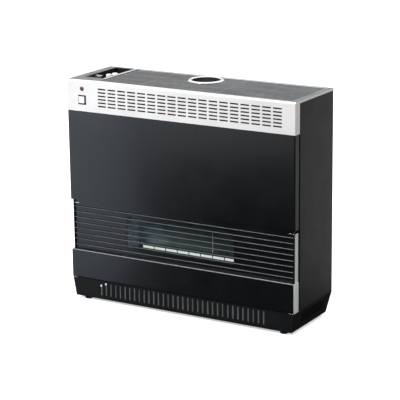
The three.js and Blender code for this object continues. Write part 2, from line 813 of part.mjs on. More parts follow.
function ignitionButton() {
  const stemEnd = -(wellDepth - buttonDrop + stemReach);
  return turned([[0, stemEnd], [stemRadius, stemEnd], [stemRadius, -buttonCap],
    [buttonRadius, -buttonCap], [buttonRadius, -1], [buttonRadius - 1, 0], [0, 0]], 20);
}

const piezoIgniter = () => cut(
  rodZ(igniterRadius, 0, 0, -igniterLength, -fit, 20),
  rodZ(stemRadius + 2 * fit, 0, 0, -stemReach - buttonTravel - 1, 1, 16));

function thermostatKnob() {
  const spindle = wellDepth - thermostatDrop - thermostatHeight + thermostatReach;
  return turned([[0, -spindle], [thermostatSpindle, -spindle], [thermostatSpindle, 0],
    [thermostatRadius, 0],
    [thermostatRadius, thermostatHeight - 4], [thermostatRadius - 1, thermostatHeight - 1],
    [thermostatRadius - 2, thermostatHeight], [thermostatRadius - 4, thermostatHeight],
    [thermostatRadius - thermostatDish, thermostatHeight - thermostatDishDepth],
    [0, thermostatHeight - thermostatDishDepth]], 20);
}

function gasValve() {
  const [x0, x1] = [controlX - valveWidth / 2, controlX + valveWidth / 2];
  const [low, top] = [zWellFloor - valveDrop, zWellFloor - fit];
  const lobe = (y) => block(x0 + 4, x1 - 4, y - lobeHalf + 3, y + lobeHalf - 3,
    low + valveManifold - 1, top);
  return cut(
    join(block(x0, x1, valveFront, valveRear, low, low + valveManifold), lobe(gasKnobY),
      lobe(thermostatY)),
    rodZ(spindleRadius + fit, controlX, gasKnobY, top - spindleReach - knobTravel - 1, top + 1, 20),
    rodZ(thermostatSpindle + fit, controlX, thermostatY, top - thermostatReach - 1, top + 1, 20));
}

function switchBezel() {
  const [w, h] = [switchWidth / 2 - fit, switchHeight / 2 - fit];
  return cut(block(-w, w, -bezelProud, bezelDepth, -h, h),
    block(bezelRim - w, w - bezelRim, -1, bezelDepth - 1, bezelRim - h, h - bezelRim));
}

// A rocker that pivots on a crosswise axis halfway through its depth.
function fanSwitch() {
  const w = (switchWidth - rockerShade - 3 * fit) / 2 - bezelRim;
  const h = switchHeight / 2 - fit - bezelRim - rockerClearance;
  const [front, rear] = [-rockerDepth / 2, rockerDepth / 2];
  return alongX([[front, -h + 0.5], [front + 0.6, -h], [rear - 2.5, -h + 1.5],
    [rear - 1, 0], [rear - 2.5, h - 1.5], [front + 0.6, h], [front, h - 0.5]], -w, w);
}

const lampLens = () => turned([[0, -lampProud], [lampRadius * 0.6, -lampProud * 0.8],
  [lampRadius * 0.92, -lampProud * 0.35], [lampRadius, fit], [lampRadius, lampLength],
  [0, lampLength]], 24).rotateX(-Math.PI / 2);

// ---------------------------------------------------------------- fire and flue

function windowGlass() {
  const half = windowWidth / 2 + glassLap;
  return block(fireOffset - half, fireOffset + half, yGlass, yGlass + glassThickness,
    zWindow - glassLap, zWindow + windowHeight + glassLap);
}

function frame(halfWidth, low, high, rim, y0, y1) {
  return cut(block(fireOffset - halfWidth, fireOffset + halfWidth, y0, y1, low, high),
    block(fireOffset - halfWidth + rim, fireOffset + halfWidth - rim, y0 - 1, y1 + 1,
      low + rim, high - rim));
}

const glassGasket = () => frame(windowWidth / 2 + glassLap, zWindow - glassLap,
  zWindow + windowHeight + glassLap, gasketWidth, yGasket, yGasket + gasketThickness);

function firebox() {
  const half = fireboxWidth / 2;
  const [x0, x1] = [fireOffset - half, fireOffset + half];
  const flange = block(x0 - fireboxFlange, x1 + fireboxFlange, yFirebox, yFirebox + steel,
    zFirebox, zFireboxTop);
  const box = block(x0, x1, yFirebox, yFirebox + fireboxDepth, zFirebox, zFireboxTop);
  const [opening, edge] = [windowWidth / 2 + glassLap - gasketWidth, glassLap - gasketWidth];
  return cut(join(flange, box),
    block(x0 + steel, x1 - steel, yFirebox + steel, yFirebox + fireboxDepth - steel,
      zFirebox + steel, zFireboxTop - steel),
    block(fireOffset - opening, fireOffset + opening, yFirebox - 1, yFirebox + steel + 1,
      zWindow - edge, zWindow + windowHeight + edge),
    block(fireOffset - fireOutletWidth / 2, fireOffset + fireOutletWidth / 2,
      yBurner - fireOutletLead, yBurner - fireOutletLead + fireOutletDepth,
      zFireboxTop - steel - 1, zFireboxTop + 1),
    rodX(injectorRadius + fit, x0 - 1, x0 + steel + 1, yBurner, zBurner + burnerHeight / 2, 20));
}

function burnerBar() {
  const [x0, x1] = [fireOffset - burnerLength / 2, fireOffset + burnerLength / 2];
  return shell(x0, x1, yBurner - burnerWidth / 2, yBurner + burnerWidth / 2, zBurner,
    zBurner + burnerHeight, steel, { left: true });
}

function ceramicBlock() {
  const half = (blockPitch - blockGap) / 2;
  const [front, rear] = [-blockDepth / 2, blockDepth / 2];
  return alongX([[front, 0], [rear, 0], [rear, blockHeight], [front + blockChamfer, blockHeight],
    [front, blockHeight - blockChamfer]], -half, half);
}

const injector = () => join(
  rodX(injectorRadius, xInjector, xBurner - fit, yBurner, zBurnerMid, 20),
  rodX(injectorRadius + 3, xInjector, xInjector + injectorHead, yBurner, zBurnerMid, 6));

// Rods behind the burner on a small square foot.
const probe = (radius, height) => join(
  rodZ(radius, 0, 0, 0, height, 12),
  block(-probeFoot, probeFoot, -probeFoot, probeFoot, 0, probeFootHeight));

const pilotBurner = () => join(
  rodZ(pilotRadius - 1, 0, 0, 0, pilotNeck, 16),
  rodZ(pilotRadius, 0, 0, pilotNeck, pilotHeight, 16),
  block(-pilotRadius, pilotRadius, -pilotRadius, pilotRadius, 0, probeFootHeight));

function heatExchanger() {
  const half = exchangerWidth / 2;
  const z0 = zFireboxTop + fit;
  const z1 = z0 + headerHeight;
  const z2 = z1 + tubeHeight;
  const z3 = z2 + headerHeight;
  const [x0, x1] = [fireOffset - half, fireOffset + half];
  const pitch = (exchangerWidth - tubeWidth - 2 * tubeSideInset) / (tubeCount - 1);
  const tubes = Array.from({ length: tubeCount }, (_, i) => x0 + tubeSideInset + i * pitch);
  const [front, rear] = [exchangerFront + tubeFrontInset, exchangerRear - tubeRearInset];
  const outside = join(
    block(x0, x1, exchangerFront, exchangerRear, z0, z1),
    block(x0, x1, exchangerFront, exchangerRear, z2, z3),
    ...tubes.map((x) => block(x, x + tubeWidth, front, rear, z1 - 1, z2 + 1)));
  return cut(outside,
    block(x0 + steel, x1 - steel, exchangerFront + steel, exchangerRear - steel,
      z0 + steel, z1 - steel),
    block(x0 + steel, x1 - steel, exchangerFront + steel, exchangerRear - steel,
      z2 + steel, z3 - steel),
    ...tubes.map((x) => block(x + steel, x + tubeWidth - steel, front + steel, rear - steel,
      z1 - steel - 1, z2 + steel + 1)),
    block(fireOffset - fireOutletWidth / 2, fireOffset + fireOutletWidth / 2,
      yBurner - fireOutletLead, yBurner - fireOutletLead + fireOutletDepth, z0 - 1, z0 + steel + 1),
    block(hoodRim - hoodWidth / 2, hoodWidth / 2 - hoodRim, flueY - hoodDepthOpening / 2,
      flueY + hoodDepthOpening / 2, z3 - steel - 1, z3 + 1));
}

function draughtHood() {
  const [half, y0, y1] = [hoodWidth / 2, flueY - hoodDepth / 2, flueY + hoodDepth / 2];
  const hood = shell(-half, half, y0, y1, zHood, zHoodTop, steel);
  return cut(hood,
    block(hoodRim - half, half - hoodRim, flueY - hoodDepthOpening / 2,
      flueY + hoodDepthOpening / 2, zHood - 1, zHood + steel + 1),
    block(hoodRim - half, half - hoodRim, y1 - steel - 1, y1 + 1, zHood + hoodAirLow,
      zHood + hoodAirHigh),
    rodZ(spigotRadius - spigotWall, 0, flueY, zHoodTop - steel - 1, zHoodTop + 1, 36));
}

// ---------------------------------------------------------------- carriage, gas and fan

function lowerRail() {
  const top = zFirebox - fit;
  const end = side - steel - fit;
  return alongX(sheetOutline([[railFront + railDepth, top], [railFront, top],
    [railFront, top - railHeight], [railFront + railDepth, top - railHeight]], steel), -end, end);
}

// A threaded stub through the back panel with a flange on the panel's inner face.
function wallStub(radius, bore, flangeRadius, pipeBore) {
  const inner = yBackPanel - steel - fit;
  return cut(join(
    rodY(radius, 0, inner - stubReach, caseDepth - 0.5, 0, 16),
    rodY(flangeRadius, 0, inner - stubFlange, inner, 0, 20),
    rodY(radius + 5, 0, inner - stubNutFront, inner - stubNutRear, 0, 6)),
  rodY(bore, 0, inner - stubReach - 1, caseDepth + 1, 0, 16),
  rodY(pipeBore + 2 * fit, 0, inner - stubReach - 1, inner - stubReach / 2, 0, 16));
}

function feedPipe() {
  const top = zWellFloor - valveDrop - fit;
  return pipe(feedRadius, [[feedX, yBurner, top], [feedX, yBurner, zBurnerMid],
    [xInjector - fit, yBurner, zBurnerMid]], 8, 18);
}

function inletPipe() {
  const z = zWellFloor - valveDrop + valveManifold / 2;
  return pipe(inletRadius, [[controlX, valveRear + fit, z], [controlX, inletDropY, z],
    [controlX, inletDropY, serviceHeight],
    [controlX, yBackPanel - steel - 2 * fit - stubReach / 2, serviceHeight]], 8, 30);
}

function blowerHousing() {
  const reach = rotorRadius + scrollGap;
  const scroll = [];
  for (let i = 0; i <= scrollSteps; i += 1) {
    const angle = Math.PI * (scrollStart + ((scrollEnd - scrollStart) * i) / scrollSteps);
    scroll.push([rotorY + reach * Math.cos(angle), rotorHeight + reach * Math.sin(angle)]);
  }
  scroll.push([rotorY + reach, rotorHeight + reach]);
  const [x0, x1] = [rotorLeft - cheekGap, rotorLeft + rotorLength + cheekGap];
  const half = cheekThickness / 2;
  const cheek = (x) => cut(block(x - half, x + half, rotorY - reach - 3, rotorY + reach + 3,
    panFloor, rotorHeight + reach), rodX(rotorShaft + fit, x - 2, x + 2, rotorY, rotorHeight, 16));
  return join(alongX(sheetOutline(scroll, steel), x0, x1), cheek(x0), cheek(x1));
}

// Blade ring between two discs on a shaft that runs into the motor; built about its own axis.
function blowerRotor() {
  const half = rotorLength / 2;
  const disc = (x) => rodX(rotorRadius, x, x + discThickness, 0, 0, 20);
  const blades = Array.from({ length: rotorBlades }, (_, i) =>
    block(-half, half, -0.5, 0.5, rotorRadius - bladeDepth, rotorRadius - 0.6)
      .rotateX((2 * Math.PI * i) / rotorBlades));
  return join(rodX(rotorShaft, -half - motorGap, half + motorGap + shaftReach, 0, 0, 10),
    disc(-half), disc(half - discThickness), ...blades);
}

function blowerMotor() {
  const x0 = rotorLeft + rotorLength + motorGap;
  const x1 = x0 + motorLength;
  return cut(join(rodX(motorRadius, x0, x1, rotorY, rotorHeight, 24),
    block(x0 + motorFootInset, x1 - motorFootInset, rotorY - motorRadius, rotorY + motorRadius,
      panFloor, rotorHeight)),
  rodX(rotorShaft + fit, x0 - 1, x0 + shaftReach + 1, rotorY, rotorHeight, 16));
}

function terminalBlock() {
  const [y1, top] = [terminalY + terminalDepth, panFloor + terminalDepth];
  const body = block(terminalX, terminalX + (terminalWays + 0.4) * terminalPitch,
    terminalY, y1, panFloor, top);
  const wells = Array.from({ length: terminalWays }, (_, i) => rodZ(terminalWell,
    terminalX + (i + 0.7) * terminalPitch, (terminalY + y1) / 2, (panFloor + top) / 2, top + 1, 12));
  return cut(body, ...wells);
}

// ---------------------------------------------------------------- assembly

function node(name, geometry, material, place = [0, 0, 0]) {
  const mesh = new THREE.Mesh(closed(geometry), material);
  mesh.name = name;
  mesh.position.set(...place);
  return mesh;
}

function gathered(...pieces) {
  const group = new THREE.Group();
  group.add(...pieces);
  return group;
}

const casing = gathered(
  node('base_pan', basePan(), greyPaint),
  node('lower_front_panel', lowerFrontPanel(), blackEnamel),
  node('upper_front_panel', upperFrontPanel(), blackEnamel),
  node('window_surround', windowSurround(), blackEnamel),
  node('rod_guard', rodGuard(), rodSteel),
  node('right_side_trim', rightSideTrim(), silverPaint),
  node('left_side_trim', mirroredX(rightSideTrim()), silverPaint),
  node('right_side_panel', rightSidePanel(), greyPaint),
  node('left_side_panel', mirroredX(rightSidePanel()), greyPaint),
  node('back_panel', backPanel(), greyPaint),
  node('wall_bracket', wallBracket(), bareSteel),
  node('lower_rail', lowerRail(), bareSteel));

for (const [end, y] of [['front', footFromFront], ['rear', footRear]]) {
  for (const [hand, sign] of [['left', -1], ['right', 1]]) {
    casing.add(node(`foot_${end}_${hand}`, foot(), rubber, [sign * (side - footFromSide), y, 0]));
  }
}

const top = gathered(
  node('crown_moulding', crownMoulding(), silverPaint),
  node('top_grille', topGrille(), grilleGrey),
  node('air_deflector', airDeflector(), bareSteel),
  node('divider_trim', dividerTrim(), chrome),
  node('control_well', controlWell(), blackPlastic),
  node('flue_ring', flueRing(), chrome, [0, flueY, zTop - grilleDrop]),
  node('flue_spigot', flueSpigot(), bareSteel, [0, flueY, zHoodTop + fit]),
  node('flue_restrictor', flueRestrictor(), bareSteel, [0, flueY, zTop - restrictorDepth]));

const controls = gathered(
  node('gas_knob', gasKnob(), chrome, [controlX, gasKnobY, zKnob]),
  node('gas_spindle', gasSpindle(), bareSteel, [controlX, gasKnobY, zKnob]),
  node('knob_collar', knobCollar(), blackPlastic, [controlX, gasKnobY, zKnob - collarHeight - fit]),
  node('ignition_button', ignitionButton(), whitePlastic, [controlX, buttonY, zTop - buttonDrop]),
  node('piezo_igniter', piezoIgniter(), blackPlastic, [controlX, buttonY, zWellFloor]),
  node('thermostat_knob', thermostatKnob(), chrome,
    [controlX, thermostatY, zTop - thermostatDrop - thermostatHeight]),
  node('gas_valve', gasValve(), bareSteel),
  node('switch_bezel', switchBezel(), blackPlastic, [switchX, 0, zTop - switchBelowTop]),
  node('fan_switch', fanSwitch(), whitePlastic,
    [rockerX, rockerDepth / 2 - rockerProud, zTop - switchBelowTop]),
  node('lamp_lens', lampLens(), redLens, [switchX, 0, zTop - lampBelowTop]));

const fire = gathered(
  node('window_glass', windowGlass(), clearGlass),
  node('glass_gasket', glassGasket(), rope),
  node('firebox', firebox(), bareSteel),
  node('burner_bar', burnerBar(), bareSteel),
  node('burner_injector', injector(), brass),
  node('heat_exchanger', heatExchanger(), bareSteel),
  node('draught_hood', draughtHood(), bareSteel));
for (let i = 0; i < blockCount; i += 1) {
  const x = fireOffset + blockOffset + (i - (blockCount - 1) / 2) * blockPitch;
  fire.add(node(`ceramic_block_${i + 1}`, ceramicBlock(), ceramic, [x, yBurner, zBlocks]));
}
const yProbe = yBehindBlocks + probeFoot;
fire.add(
  node('flame_sensor', probe(sensorRadius, sensorHeight), bareSteel, [sensorX, yProbe, zProbe]),
  node('spark_electrode', probe(electrodeRadius, electrodeHeight), ceramic,
    [electrodeX, yProbe, zProbe]),
  node('pilot_burner', pilotBurner(), brass, [pilotX, yBehindBlocks + pilotRadius, zProbe]));

const services = gathered(
  node('feed_pipe', feedPipe(), brass),
  node('inlet_pipe', inletPipe(), brass),
  node('gas_union', wallStub(unionStub, unionBore, unionFlange, inletRadius), brass,
    [controlX, 0, serviceHeight]),
  node('mains_inlet', wallStub(mainsStub, mainsBore, mainsFlange, mainsBore), blackPlastic,
    [mainsX, 0, serviceHeight]),
  node('blower_housing', blowerHousing(), bareSteel),
  node('blower_rotor', blowerRotor(), bareSteel,
    [rotorLeft + rotorLength / 2, rotorY, rotorHeight]),
  node('blower_motor', blowerMotor(), bareSteel),
  node('terminal_block', terminalBlock(), whitePlastic));

// The origin is under the middle of the whole footprint, kick-out included.
const heater = gathered(casing, top, controls, fire, services);
const footprint = new THREE.Box3().setFromObject(heater);
heater.position.y = -(footprint.min.y + footprint.max.y) / 2;

const part = new THREE.Group();
part.add(heater);

export default part;
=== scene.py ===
"""Looks of the flued gas room heater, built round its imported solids. Metres, +Z up."""

import json
import math

import bmesh
import bpy
from mathutils import Matrix, Vector


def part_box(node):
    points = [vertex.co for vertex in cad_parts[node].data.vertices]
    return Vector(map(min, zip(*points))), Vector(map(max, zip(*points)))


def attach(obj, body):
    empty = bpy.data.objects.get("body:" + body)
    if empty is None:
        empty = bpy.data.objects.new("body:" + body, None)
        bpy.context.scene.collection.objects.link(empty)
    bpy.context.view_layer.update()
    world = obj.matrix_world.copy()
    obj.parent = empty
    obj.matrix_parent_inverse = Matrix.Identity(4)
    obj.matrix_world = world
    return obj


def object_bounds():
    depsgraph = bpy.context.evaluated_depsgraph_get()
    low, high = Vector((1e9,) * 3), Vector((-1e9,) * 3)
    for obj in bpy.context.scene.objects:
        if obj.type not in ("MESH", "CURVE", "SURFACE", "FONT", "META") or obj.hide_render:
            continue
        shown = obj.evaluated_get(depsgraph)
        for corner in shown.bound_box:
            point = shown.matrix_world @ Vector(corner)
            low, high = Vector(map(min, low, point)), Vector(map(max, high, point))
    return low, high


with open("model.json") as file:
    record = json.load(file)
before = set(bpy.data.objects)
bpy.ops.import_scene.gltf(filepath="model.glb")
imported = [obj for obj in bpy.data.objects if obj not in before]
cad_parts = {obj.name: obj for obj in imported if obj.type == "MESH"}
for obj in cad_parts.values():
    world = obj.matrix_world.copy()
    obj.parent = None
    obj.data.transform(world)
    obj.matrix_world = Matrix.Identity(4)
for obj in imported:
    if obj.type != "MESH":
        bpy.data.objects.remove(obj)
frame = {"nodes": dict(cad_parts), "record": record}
cad_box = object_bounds()
nodes = frame["nodes"]
BODY = "heater_body"
MM = 0.001
CASE_DEPTH = 0.216                  # from the wall, at the box's rear, to the case's front plane
FRONT = cad_box[1].y - CASE_DEPTH


def low(node):
    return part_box(node)[0]


def high(node):
    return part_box(node)[1]


def middle(node):
    return (low(node) + high(node)) / 2


# ---------------------------------------------------------------- camera

YAW, PITCH, ROLL = (math.radians(a) for a in (30.84, 14.92, -0.70))
TARGET = Vector((0.00781, FRONT + 0.1, 0.30364))
DISTANCE = 4.53058
LENS = 150.67


def make_camera():
    back = Vector((math.sin(YAW) * math.cos(PITCH), -math.cos(YAW) * math.cos(PITCH),
                   math.sin(PITCH)))
    right = Vector((math.cos(YAW), math.sin(YAW), 0))
    up = back.cross(right)
    across = math.cos(ROLL) * right + math.sin(ROLL) * up
    above = -math.sin(ROLL) * right + math.cos(ROLL) * up
    data = bpy.data.cameras.new("camera")
    data.sensor_width = 36
    data.lens = LENS
    data.clip_end = 60
    camera = bpy.data.objects.new("camera", data)
    bpy.context.scene.collection.objects.link(camera)
    turn = Matrix((across, above, back)).transposed().to_4x4()
    camera.matrix_world = Matrix.Translation(TARGET + back * DISTANCE) @ turn
    bpy.context.scene.camera = camera


make_camera()

# ---------------------------------------------------------------- materials


class Paint:
    """A node material: a Principled shader fed by noise in the object's own coordinates."""

    def __init__(self, name, metallic=0.0, **fixed):
        self.material = bpy.data.materials.new(name)
        self.material.use_nodes = True
        self.tree = self.material.node_tree
        self.shader = self.tree.nodes["Principled BSDF"]
        self.shader.inputs["Metallic"].default_value = metallic
        for socket, value in fixed.items():
            self.shader.inputs[socket.replace("_", " ")].default_value = value
        place = self.tree.nodes.new("ShaderNodeTexCoord")
        self.place = place.outputs["Object"]

    def link(self, a, b):
        self.tree.links.new(a, b)

    def stretched(self, scale):
        node = self.tree.nodes.new("ShaderNodeMapping")
        node.inputs["Scale"].default_value = scale
        self.link(self.place, node.inputs["Vector"])
        return node.outputs["Vector"]

    def noise(self, scale, detail=3.0, roughness=0.5, where=None):
        node = self.tree.nodes.new("ShaderNodeTexNoise")
        node.inputs["Scale"].default_value = scale
        node.inputs["Detail"].default_value = detail
        node.inputs["Roughness"].default_value = roughness
        self.link(where or self.place, node.inputs["Vector"])
        return node.outputs["Fac"]

    def cells(self, scale, feature="F1", where=None):
        node = self.tree.nodes.new("ShaderNodeTexVoronoi")
        node.feature = feature
        node.inputs["Scale"].default_value = scale
        self.link(where or self.place, node.inputs["Vector"])
        return node

    def waves(self, scale, axis="X", distortion=0.0):
        node = self.tree.nodes.new("ShaderNodeTexWave")
        node.bands_direction = axis
        node.inputs["Scale"].default_value = scale
        node.inputs["Distortion"].default_value = distortion
        self.link(self.place, node.inputs["Vector"])
        return node.outputs["Fac"]

    def ramp(self, source, stops):
        node = self.tree.nodes.new("ShaderNodeValToRGB")
        ramp = node.color_ramp
        while len(ramp.elements) < len(stops):
            ramp.elements.new(0.5)
        for element, (at, colour) in zip(ramp.elements, stops):
            element.position = at
            element.color = (*colour, 1)
        self.link(source, node.inputs["Fac"])
        return node.outputs["Color"]

    def spread(self, source, least, most, start=0.3, end=0.7):
        node = self.tree.nodes.new("ShaderNodeMapRange")
        for socket, value in (("From Min", start), ("From Max", end), ("To Min", least),
                              ("To Max", most)):
            node.inputs[socket].default_value = value
        self.link(source, node.inputs["Value"])
        return node.outputs["Result"]

    def colour(self, source, dark, light, start=0.35, end=0.65):
        self.link(self.ramp(source, [(start, dark), (end, light)]),
                  self.shader.inputs["Base Color"])

    def gloss(self, source, least, most):
        self.link(self.spread(source, least, most), self.shader.inputs["Roughness"])

    def relief(self, *layers):
        """Bumps from (source, height in millimetres) layers, the last one on top."""
        normal = None
        for source, height in layers:
            node = self.tree.nodes.new("ShaderNodeBump")
            node.inputs["Strength"].default_value = 1.0
            node.inputs["Distance"].default_value = height * MM
            self.link(source, node.inputs["Height"])
            if normal:
                self.link(normal, node.inputs["Normal"])
            normal = node.outputs["Normal"]
        self.link(normal, self.shader.inputs["Normal"])


def silver_paint():
    p = Paint("silver_paint", metallic=0.2)
    fleck = p.cells(2600).outputs["Color"]
    cloud = p.noise(9, 2)
    p.colour(cloud, (0.725, 0.705, 0.69), (0.785, 0.765, 0.75))
    p.gloss(p.noise(40, 4), 0.34, 0.44)
    p.relief((p.noise(900, 2), 0.012), (fleck, 0.004))
    return p.material


def black_enamel():
    p = Paint("black_enamel", Specular_IOR_Level=0.45, Coat_Weight=0.1, Coat_Roughness=0.12)
    p.colour(p.noise(5, 3), (0.0011, 0.0012, 0.0014), (0.0019, 0.0021, 0.0024))
    p.gloss(p.noise(14, 4), 0.23, 0.28)
    p.relief((p.noise(160, 3), 0.006), (p.noise(700, 2), 0.003))
    return p.material


def grey_paint():
    p = Paint("grey_paint", Specular_IOR_Level=0.24)
    p.colour(p.noise(7, 3), (0.0035, 0.0038, 0.0042), (0.0055, 0.0059, 0.0064))
    p.gloss(p.noise(22, 4), 0.36, 0.43)
    p.relief((p.noise(420, 3), 0.03), (p.noise(1500, 2), 0.012))
    return p.material


def grille_paint():
    p = Paint("grille_paint", metallic=0.5)
    streak = p.noise(60, 3, where=p.stretched((0.12, 1, 1)))
    p.colour(streak, (0.125, 0.132, 0.138), (0.19, 0.198, 0.205))
    p.gloss(p.noise(30, 4), 0.36, 0.48)
    p.relief((p.noise(800, 3), 0.02), (p.cells(2400).outputs["Color"], 0.004))
    return p.material


def bright_trim():
    p = Paint("bright_trim", metallic=1.0)
    drawn = p.noise(90, 3, where=p.stretched((1, 1, 0.05)))
    p.colour(drawn, (0.86, 0.87, 0.87), (0.93, 0.935, 0.935))
    p.gloss(p.noise(60, 4), 0.16, 0.26)
    p.relief((p.noise(700, 2), 0.002))
    return p.material


def satin_trim():
    p = Paint("satin_trim", metallic=0.35)
    drawn = p.noise(90, 3, where=p.stretched((1, 1, 0.05)))
    p.colour(drawn, (0.74, 0.745, 0.74), (0.84, 0.845, 0.84))
    p.gloss(p.noise(60, 4), 0.36, 0.42)
    p.relief((p.noise(500, 2), 0.001))
    return p.material


def rod_steel():
    p = Paint("rod_steel", metallic=0.85)
    drawn = p.noise(300, 3, where=p.stretched((0.05, 1, 1)))
    p.colour(drawn, (0.072, 0.078, 0.084), (0.112, 0.120, 0.128))
    p.gloss(p.noise(80, 3), 0.34, 0.42)
    p.relief((p.noise(500, 2), 0.001))
    return p.material


def glint_steel():
    # painted highlight: the pale steel of the strip on the lower panel's top edge
    p = Paint("glint_steel", metallic=0.7)
    p.colour(p.noise(200, 3), (0.30, 0.31, 0.33), (0.38, 0.39, 0.41))
    p.gloss(p.noise(80, 3), 0.36, 0.44)
    p.relief((p.noise(500, 2), 0.001))
    return p.material


def bare_steel():
    p = Paint("bare_steel", metallic=0.8)
    spangle = p.cells(90).outputs["Color"]
    p.colour(spangle, (0.30, 0.31, 0.32), (0.46, 0.47, 0.48), 0.1, 0.9)
    p.gloss(p.noise(45, 4), 0.32, 0.52)
    p.relief((p.noise(260, 4), 0.02))
    return p.material


def soot_and_shade_steel():
    # dark sooted steel; on the ceramic blocks' ends and tops it is painted shade
    p = Paint("soot_and_shade_steel", metallic=0.4)
    p.colour(p.noise(30, 4), (0.012, 0.012, 0.013), (0.035, 0.034, 0.033))
    p.gloss(p.noise(45, 4), 0.5, 0.7)
    p.relief((p.noise(260, 4), 0.03))
    return p.material


LINING_LEFT, LINING_RIGHT = -0.19, 0.18     # where the lining's painted reflection starts and ends, along X
LINING_MOTTLE = 0.05


def lining_painted_sheen():
    """Dark enamelled sheet with a painted bluish reflection, palest at the left end of the box and
    fading to dark towards the right.
    """
    p = Paint("lining_painted_sheen", Specular_IOR_Level=0.4)
    split = p.tree.nodes.new("ShaderNodeSeparateXYZ")
    p.link(p.place, split.inputs["Vector"])
    along = p.spread(split.outputs["X"], 0, 1, LINING_LEFT, LINING_RIGHT)
    mottle = p.spread(p.noise(24, 4), -LINING_MOTTLE, LINING_MOTTLE)
    mix = p.tree.nodes.new("ShaderNodeMath")
    p.link(along, mix.inputs[0])
    p.link(mottle, mix.inputs[1])
    # painted reflection: pale blue at the left end, dark enamel towards the right
    sheen_shades = [(0.0, (0.50, 0.62, 0.74)), (0.07, (0.20, 0.28, 0.32)),
              (0.3, (0.075, 0.105, 0.10)), (0.9, (0.014, 0.022, 0.020))]
    p.link(p.ramp(mix.outputs[0], sheen_shades), p.shader.inputs["Base Color"])
    p.gloss(p.noise(40, 3), 0.35, 0.5)
    p.relief((p.noise(260, 4), 0.03))
    return p.material


def window_glass():
    p = Paint("glass", IOR=1.5, Specular_IOR_Level=0.5, Alpha=0.22)
    p.colour(p.noise(6, 2), (0.010, 0.016, 0.017), (0.016, 0.024, 0.026))
    p.gloss(p.noise(10, 2), 0.02, 0.06)
    p.relief((p.noise(12, 2), 0.02))
    p.material.blend_method = "BLEND"
    return p.material


def ceramic():
    # painted glow: the emission lights the blocks from within, standing in for the light that
    # falls on them
    p = Paint("ceramic", Specular_IOR_Level=0.3, Emission_Color=(0.9, 1.0, 0.95, 1),
              Emission_Strength=0.75)
    pores = p.cells(420, "DISTANCE_TO_EDGE").outputs["Distance"]
    p.colour(p.noise(60, 5, 0.6), (0.70, 0.73, 0.71), (0.88, 0.90, 0.88))
    p.gloss(p.noise(100, 3), 0.75, 0.9)
    p.relief((p.spread(pores, 0, 1, 0.0, 0.25), 0.25), (p.noise(900, 3), 0.05))
    return p.material


def gasket_rope():
    p = Paint("gasket_rope")
    plait = p.waves(140, "DIAGONAL", 1.5)
    p.colour(plait, (0.16, 0.155, 0.14), (0.34, 0.33, 0.30), 0.2, 0.8)
    p.gloss(p.noise(200, 3), 0.85, 1.0)
    p.relief((plait, 0.4), (p.noise(900, 3), 0.1))
    return p.material


def brass():
    p = Paint("brass", metallic=1.0)
    p.colour(p.noise(35, 5, 0.6), (0.32, 0.20, 0.075), (0.58, 0.42, 0.17))
    p.gloss(p.noise(70, 4), 0.24, 0.42)
    p.relief((p.noise(400, 3, where=p.stretched((1, 1, 0.1))), 0.01))
    return p.material


def black_plastic():
    p = Paint("black_plastic", Specular_IOR_Level=0.2)
    p.colour(p.noise(40, 4), (0.004, 0.004, 0.0045), (0.008, 0.008, 0.009))
    p.gloss(p.noise(90, 3), 0.42, 0.55)
    p.relief((p.noise(1800, 2), 0.02))
    return p.material


def white_plastic():
    p = Paint("white_plastic", Specular_IOR_Level=0.5)
    p.colour(p.noise(25, 3), (0.80, 0.80, 0.78), (0.87, 0.87, 0.85))
    p.gloss(p.noise(50, 3), 0.24, 0.34)
    p.relief((p.noise(1200, 2), 0.008))
    return p.material


def red_lens():
    p = Paint("red_lens", Specular_IOR_Level=0.5, Transmission_Weight=0.15)
    facets = p.cells(520, "DISTANCE_TO_EDGE").outputs["Distance"]
    p.colour(p.noise(150, 3), (0.085, 0.035, 0.035), (0.15, 0.065, 0.065))
    p.gloss(p.noise(80, 2), 0.12, 0.24)
    p.relief((facets, 0.15))
    return p.material


def galvanised():
    p = Paint("galvanised", metallic=0.3)
    ribs = p.waves(180, "X", 0.4)
    p.colour(ribs, (0.16, 0.165, 0.165), (0.34, 0.35, 0.34), 0.25, 0.75)
    p.gloss(p.noise(60, 3), 0.45, 0.6)
    p.relief((ribs, 0.6), (p.noise(500, 3), 0.03))
    return p.material


def rubber():
    p = Paint("rubber", Specular_IOR_Level=0.35)
    p.colour(p.noise(60, 4), (0.006, 0.006, 0.006), (0.013, 0.013, 0.013))
    p.gloss(p.noise(120, 3), 0.7, 0.85)
    p.relief((p.noise(1400, 3), 0.04))
    return p.material


MATERIALS = {
    "silver_paint": silver_paint(), "black_enamel": black_enamel(), "grey_paint": grey_paint(),
    "grille_paint": grille_paint(), "bright_trim": bright_trim(), "rod_steel": rod_steel(),
    "bare_steel": bare_steel(), "glass": window_glass(), "ceramic": ceramic(),
    "gasket_rope": gasket_rope(), "brass": brass(), "black_plastic": black_plastic(),
    "white_plastic": white_plastic(), "red_lens": red_lens(), "rubber": rubber(),
    "galvanised": galvanised(), "soot_and_shade_steel": soot_and_shade_steel(), "lining_painted_sheen": lining_painted_sheen(),
    "satin_trim": satin_trim(), "glint_steel": glint_steel(),
}

# ---------------------------------------------------------------- carried nodes

WELD_REACH = 0.01 * MM
EDGE_ANGLE = math.radians(32)       # sharper corners than this are rounded
SHADING_WEIGHT = 90
PLAIN_EDGE = 0.25                   # the rounding of a node that EDGE doesn't name, in millimetres
EDGE = {                            # rounded edges, in millimetres
    "crown_moulding": 0.5, "top_grille": 0.3, "divider_trim": 0.4, "control_well": 0.5,
    "upper_front_panel": 0.4, "lower_front_panel": 0.4, "window_surround": 0.3,
    "right_side_trim": 0.35, "left_side_trim": 0.35, "right_side_panel": 0.3,
    "left_side_panel": 0.3, "back_panel": 0.3, "base_pan": 0.5, "switch_bezel": 0.25,
    "fan_switch": 0.4, "gas_knob": 0.5, "gas_valve": 0.8, "blower_motor": 0.6,
    "terminal_block": 0.6, "firebox": 0.4, "heat_exchanger": 0.5, "draught_hood": 0.4,
    "wall_bracket": 0.3, "window_glass": 0.4,
}


